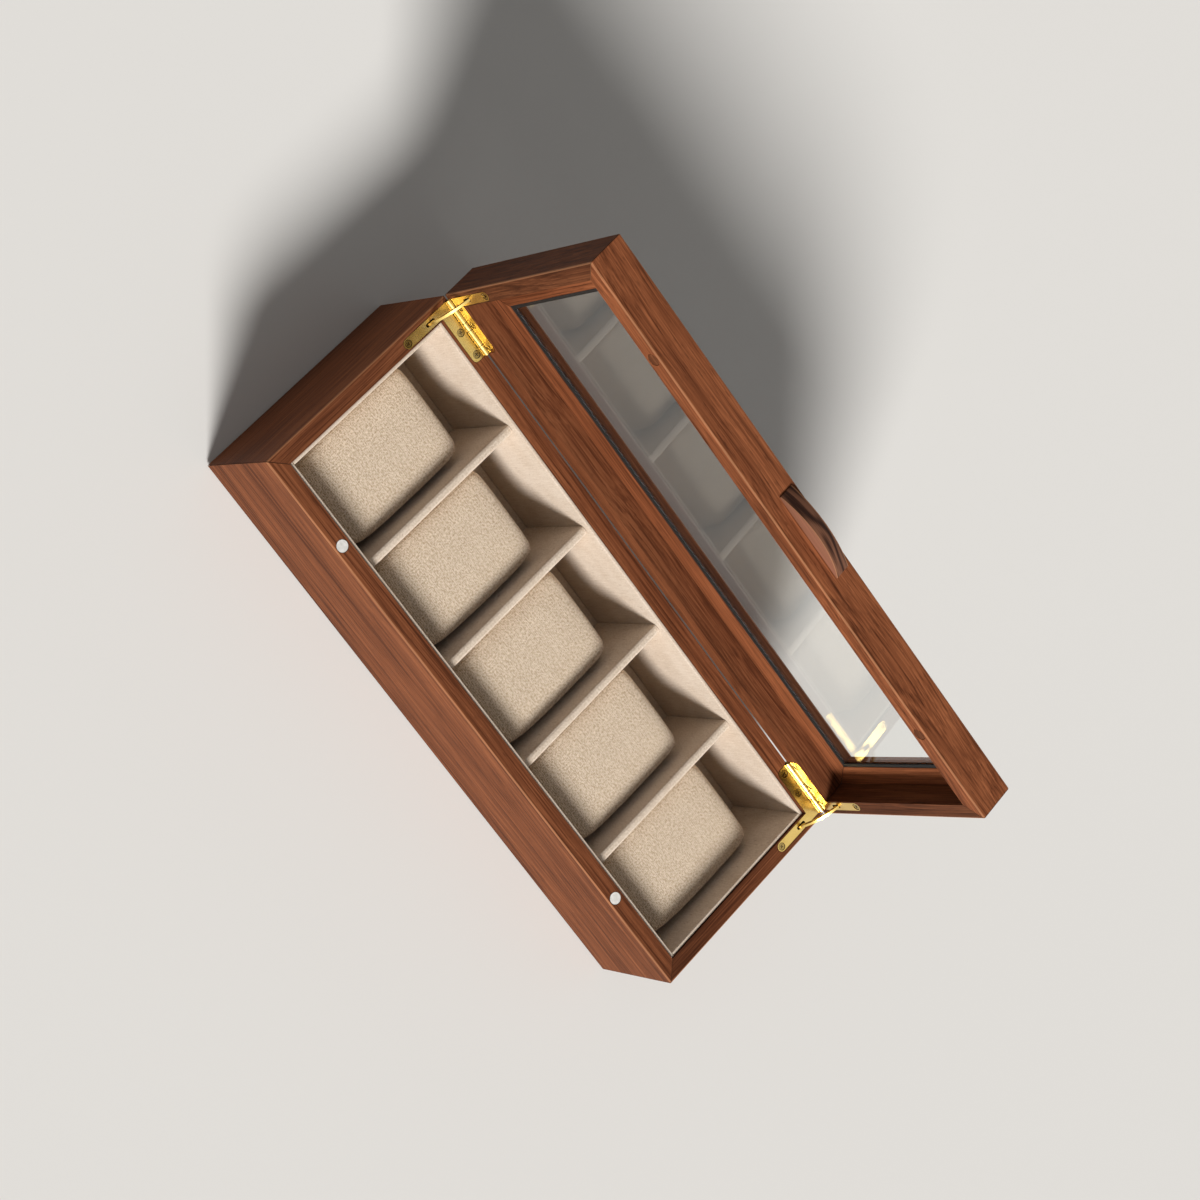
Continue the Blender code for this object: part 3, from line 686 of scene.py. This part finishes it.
def weave_map(item, low, high):
    """Cloth directions: across the cushion, and round it from front to back."""
    mesh = item.data
    middle = (low + high) / 2
    half_y = (high.y - low.y) / 2
    half_z = (high.z - low.z) / 2
    layer = mesh.uv_layers.new(name="weave")
    for face in mesh.polygons:
        face.use_smooth = True
        centre = face.center - middle
        on_side = abs(face.normal.x) > side_above
        for loop in face.loop_indices:
            point = mesh.vertices[mesh.loops[loop].vertex_index].co - middle
            if on_side:
                layer.data[loop].uv = (point.y, point.z)
                continue
            if abs(centre.z / half_z) >= abs(centre.y / half_y):
                way = 1 if centre.z > 0 else -1
                start = (half_y + half_z) * (1 - way)
                round_place = way * point.y
            else:
                way = 1 if centre.y > 0 else -1
                start = (half_y + half_z) * (2 - way)
                round_place = -way * point.z
            layer.data[loop].uv = (point.x, start + round_place)


def cover_cushions():
    """Stuffed linen covers in place of the plain cushions, whose bodies have the same names."""
    cushion_linen = linen("linen")
    for node in sorted(n for n in frame["nodes"] if n.startswith("cushion_")):
        cover, low, high = swelled(node)
        weave_map(cover, low, high)
        cover.data.materials.clear()
        cover.data.materials.append(cushion_linen)
        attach(cover, node)
        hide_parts(node)


# The finishes on their pieces

def dress(material, *nodes):
    """Gives CAD nodes a finish in place of their plain one."""
    for node in nodes:
        mesh = frame["nodes"][node].data
        mesh.materials.clear()
        mesh.materials.append(material)


def make_rounding():
    """A modifier's nodes that shade curved faces smoothly and leave sharp edges sharp."""
    group = bpy.data.node_groups.new("rounding", "GeometryNodeTree")
    for way in ("INPUT", "OUTPUT"):
        group.interface.new_socket("Geometry", in_out=way, socket_type="NodeSocketGeometry")
    weld = group.nodes.new("GeometryNodeMergeByDistance")
    weld.inputs["Distance"].default_value = weld_distance
    plain = group.nodes.new("GeometryNodeRemoveAttribute")
    plain.inputs["Name"].default_value = "custom_normal"
    smooth = group.nodes.new("GeometryNodeSetShadeSmooth")
    edges = group.nodes.new("GeometryNodeSetShadeSmooth")
    edges.domain = "EDGE"
    angle = group.nodes.new("GeometryNodeInputMeshEdgeAngle")
    flat_enough = group.nodes.new("ShaderNodeMath")
    flat_enough.operation = "LESS_THAN"
    flat_enough.inputs[1].default_value = math.radians(round_angle)
    group.links.new(angle.outputs["Unsigned Angle"], flat_enough.inputs[0])
    group.links.new(flat_enough.outputs[0], edges.inputs["Shade Smooth"])
    start = group.nodes.new("NodeGroupInput")
    end = group.nodes.new("NodeGroupOutput")
    steps = (start, weld, plain, smooth, edges, end)
    for before, after in zip(steps, steps[1:]):
        group.links.new(before.outputs[0], after.inputs[0])
    return group


def dress_boards():
    """Each rail and window member is a board of its own, with its own seed."""
    for count, side in enumerate(("front", "right", "back", "left")):
        turned = side in ("right", "left")
        tone = deep_board if turned else front_board
        case_wood = walnut("case_" + side, False, turned, case_seed + count, tone)
        dress(case_wood, f"base_{side}_rail")
        lid_tone = {"front": full_board, "back": deep_board}.get(side, lid_side_board)
        lid_wood = walnut("lid_" + side, True, turned, lid_seed + count, lid_tone, lid_sway, lid_pore_share)
        dress(lid_wood, f"lid_{side}_rail")
        window_wood = walnut("window_" + side, True, turned, window_seed + count)
        dress(window_wood, f"window_frame_{side}")
    dress(handle_wood("handle_wood"), "handle")
    plug_wood = walnut("plug_wood", True, False, plug_seed, plug_board)
    dress(plug_wood, "magnet_cap_left", "magnet_cap_right")


def dress_fittings():
    """Cloth, metal, glass and the hidden layers."""
    screws = [n for n in frame["nodes"] if "hinge_screw" in n]
    hinge_parts = [n for n in frame["nodes"] if n.startswith("hinge_")]
    magnets = [n for n in frame["nodes"] if "magnet" in n and "cap" not in n]
    linings = [n for n in frame["nodes"] if n.startswith("lining_")]
    dividers = [n for n in frame["nodes"] if n.startswith("divider_")]
    dress(suede("suede", lining_nap_share), "floor_pad", *linings)
    dress(suede("divider_suede", divider_nap_share), *dividers)
    dress(brass("brass", hinge_tone), *hinge_parts)
    # Darker brass on the screws, as painted shade for their recesses
    dress(brass("shaded_screw_brass", screw_shade_tone), *screws)
    dress(nickel("nickel"), *magnets)
    dress(glass("clear_glass"), "glass_pane")
    dress(rubber("black_seal"), "glazing_seal")
    dress(felt("black_felt"), "bottom_felt")
    dress(birch("birch_panel"), "bottom_panel")
    rounding = make_rounding()
    for node in screws + hinge_parts + magnets + ["handle"]:
        frame["nodes"][node].modifiers.new("rounding", "NODES").node_group = rounding


# Floor, light and camera

def make_floor():
    """A wide pale floor just under the box."""
    mesh = bpy.data.meshes.new("floor")
    half = floor_size / 2
    corners = [(-half, -half, 0), (half, -half, 0), (half, half, 0), (-half, half, 0)]
    mesh.from_pydata(corners, [], [(0, 1, 2, 3)])
    floor = bpy.data.objects.new("floor", mesh)
    floor.location.z = cad_box[0].z - floor_drop
    bpy.context.scene.collection.objects.link(floor)
    finish = Finish("floor_paper", floor_surface)
    finish.colour(shade(floor_colour))
    mesh.materials.append(finish.material)


def make_key(away_from):
    """An even, soft light from the front right, which isn't mirrored in the glass."""
    lamp = bpy.data.lights.new("key", "SUN")
    lamp.angle = math.radians(key_spread)
    lamp.energy = key_level
    item = bpy.data.objects.new("key", lamp)
    item.rotation_euler = Vector(key_from).to_track_quat("Z", "Y").to_euler()
    bpy.context.scene.collection.objects.link(item)
    left_out = bpy.data.collections.new("left_out_of_key")
    left_out.objects.link(away_from)
    left_out.collection_objects[0].light_linking.link_state = "EXCLUDE"
    item.light_linking.receiver_collection = left_out


def make_world():
    """Even light on the object, and a pale surround in what is seen, in glass and in metal."""
    world = bpy.data.worlds.new("studio")
    world.use_nodes = True
    tree = world.node_tree
    rays = tree.nodes.new("ShaderNodeLightPath")
    seen = rays.outputs["Is Camera Ray"]
    for kind in ("Is Transmission Ray", "Is Glossy Ray"):
        either = tree.nodes.new("ShaderNodeMath")
        either.operation = "MAXIMUM"
        tree.links.new(seen, either.inputs[0])
        tree.links.new(rays.outputs[kind], either.inputs[1])
        seen = either.outputs[0]
    level = tree.nodes.new("ShaderNodeMix")
    tree.links.new(seen, level.inputs[0])
    level.inputs[2].default_value = ambient_level
    level.inputs[3].default_value = backdrop_level
    background = tree.nodes["Background"]
    background.inputs["Color"].default_value = (1, 1, 1, 1)
    tree.links.new(level.outputs[0], background.inputs["Strength"])
    bpy.context.scene.world = world


def make_camera():
    """The photograph's viewpoint."""
    lens = bpy.data.cameras.new("camera")
    lens.sensor_width = camera_sensor
    lens.lens = camera_lens
    camera = bpy.data.objects.new("camera", lens)
    camera.location = camera_place
    camera.rotation_euler = [math.radians(a) for a in camera_turn]
    bpy.context.scene.collection.objects.link(camera)
    bpy.context.scene.camera = camera


cover_cushions()
dress_boards()
dress_fittings()
make_floor()
make_key(frame["nodes"]["glass_pane"])
make_world()
make_camera()
bpy.context.scene.view_settings.view_transform = "Standard"
